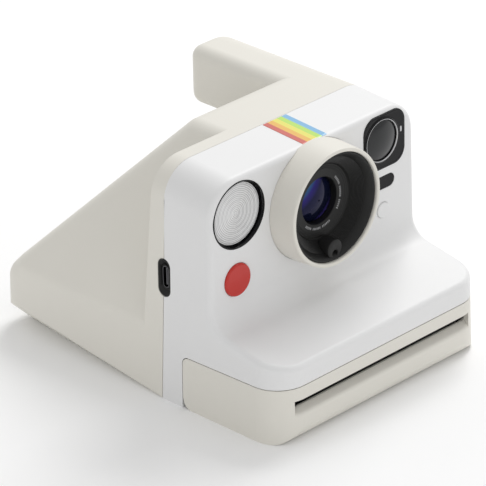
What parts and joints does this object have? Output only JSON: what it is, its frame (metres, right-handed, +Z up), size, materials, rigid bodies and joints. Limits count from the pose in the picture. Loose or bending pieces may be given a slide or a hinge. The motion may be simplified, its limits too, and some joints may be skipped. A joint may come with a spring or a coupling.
{
  "type": "instant camera",
  "caption": "Box-shaped instant film camera with a round lens barrel, flash, viewfinder hump, fold-down film door with processing rollers, and an exit slot.",
  "frame": {"origin": "middle of the bounding box's footprint, on the surface the camera stands on", "axes": "+Z up, the lens faces -Y, +X on the right of a viewer who faces the lens"},
  "size_m": [0.1122, 0.15, 0.0956],
  "materials": {
    "white_shell": "fine satin moulded ABS, white",
    "cream_shell": "fine satin moulded ABS, warm cream",
    "black_plastic": "matte black moulded plastic with fine ridges",
    "gloss_black": "polished black window plastic",
    "red_gloss": "glossy red moulded button",
    "steel": "ground steel",
    "brass": "machined brass insert",
    "clear_lens": "clear moulded optic with fine rings",
    "coated_glass": "coated lens with violet and cyan sheen",
    "mirror_glass": "front-surface mirror",
    "reflector": "bright reflector foil",
    "black_rubber": "soft black rubber",
    "board": "green circuit board laminate",
    "cell": "wrapped battery cell",
    "capacitor_sleeve": "dark heat-shrink sleeve",
    "gear_plastic": "natural acetal",
    "chamber_black": "matte black polycarbonate",
    "stripe": "five-colour printed strip: red, orange, yellow, green, blue",
    "tin": "tinned metal shell"
  },
  "bodies": {
    "camera": {"front_cover": "white_shell", "rear_cover": "cream_shell", "door_hinge_pins": "steel", "lens_ring": "cream_shell", "lens_hood": "black_plastic", "front_lens_element": "coated_glass", "lens_holder": "black_plastic", "rear_lens_element": "coated_glass", "filter_sensor": "gloss_black", "flash_bezel": "gloss_black", "flash_lens": "clear_lens", "flash_reflector": "reflector", "flash_tube": "clear_lens", "flash_capacitor": "capacitor_sleeve", "shutter_switch": "black_plastic", "timer_switch": "black_plastic", "counter_window": "gloss_black", "viewfinder_window": "gloss_black", "viewfinder_objective": "coated_glass", "viewfinder_tube": "chamber_black", "eyepiece_lens": "clear_lens", "eyecup": "black_rubber", "sensor_window": "gloss_black", "rainbow_stripe": "stripe", "port_bezel": "black_plastic", "port_receptacle": "tin", "main_board": "board", "battery": "cell", "mirror": "mirror_glass", "film_chamber": "chamber_black", "drive_motor": "tin", "gear_plate": "steel", "tripod_socket": "brass", "strap_bars": "steel", "case_screws": "steel", "base_plate": "cream_shell", "strap_pockets": "black_plastic"},
    "door": {"film_door": "cream_shell", "roller_brackets": "tin", "film_shield": "black_plastic"},
    "upper_roller": {"upper_roller": "steel"},
    "lower_roller": {"lower_roller": "steel"},
    "idler_front": {"idler_gear_front": "gear_plastic"},
    "idler_rear": {"idler_gear_rear": "gear_plastic"},
    "pinion": {"motor_pinion": "brass"},
    "shutter_button": {"shutter_button": "red_gloss"},
    "timer_button": {"timer_button": "white_shell"},
    "power_button": {"power_button": "cream_shell"},
    "flash_mode_button": {"flash_mode_button": "cream_shell"},
    "latch": {"door_latch": "black_plastic"},
    "shutter_blade": {"shutter_blade": "steel"},
    "pick_arm": {"pick_arm": "steel"}
  },
  "joints": [
    {"name": "film_door_hinge", "type": "hinge", "parent": "camera", "child": "door", "pos_m": [0, -0.0288, 0.0039], "axis": [1, 0, 0], "range_deg": [0, 85]},
    {"name": "latch_slide", "type": "slide", "parent": "camera", "child": "latch", "axis": [0, 1, 0], "range_m": [0, 0.0022], "stiffness_N_per_m": 250},
    {"name": "shutter_press", "type": "slide", "parent": "camera", "child": "shutter_button", "axis": [0, 1, 0], "range_m": [0, 0.0015], "stiffness_N_per_m": 600},
    {"name": "timer_press", "type": "slide", "parent": "camera", "child": "timer_button", "axis": [0, 1, 0], "range_m": [0, 0.001], "stiffness_N_per_m": 500},
    {"name": "power_press", "type": "slide", "parent": "camera", "child": "power_button", "axis": [0, -0.7284, -0.6852], "range_m": [0, 0.0008], "stiffness_N_per_m": 500},
    {"name": "flash_mode_press", "type": "slide", "parent": "camera", "child": "flash_mode_button", "axis": [0, -0.7284, -0.6852], "range_m": [0, 0.0008], "stiffness_N_per_m": 500},
    {"name": "shutter_blade_turn", "type": "hinge", "parent": "camera", "child": "shutter_blade", "pos_m": [0.013, -0.0224, 0.071], "axis": [0, 1, 0], "range_deg": [0, 75], "stiffness_Nm_per_rad": 0.002},
    {"name": "pick_arm_slide", "type": "slide", "parent": "camera", "child": "pick_arm", "axis": [0, -1, 0], "range_m": [0, 0.008], "stiffness_N_per_m": 80},
    {"name": "upper_roller_spin", "type": "hinge", "parent": "door", "child": "upper_roller", "pos_m": [0, -0.063, 0.0183], "axis": [1, 0, 0], "continuous": true},
    {"name": "lower_roller_spin", "type": "hinge", "parent": "door", "child": "lower_roller", "pos_m": [0, -0.063, 0.01], "axis": [1, 0, 0], "continuous": true},
    {"name": "idler_front_spin", "type": "hinge", "parent": "camera", "child": "idler_front", "pos_m": [0, -0.05508, 0.02325], "axis": [1, 0, 0], "continuous": true},
    {"name": "idler_rear_spin", "type": "hinge", "parent": "camera", "child": "idler_rear", "pos_m": [0, -0.04506, 0.02593], "axis": [1, 0, 0], "continuous": true},
    {"name": "pinion_spin", "type": "hinge", "parent": "camera", "child": "pinion", "pos_m": [0, -0.03801, 0.02922], "axis": [1, 0, 0], "continuous": true}
  ],
  "couplings": [
    {"joint": "lower_roller_spin", "follows": "upper_roller_spin", "ratio": -1},
    {"joint": "idler_front_spin", "follows": "upper_roller_spin", "ratio": -0.8},
    {"joint": "idler_rear_spin", "follows": "upper_roller_spin", "ratio": 0.8},
    {"joint": "pinion_spin", "follows": "upper_roller_spin", "ratio": -1.6}
  ]
}
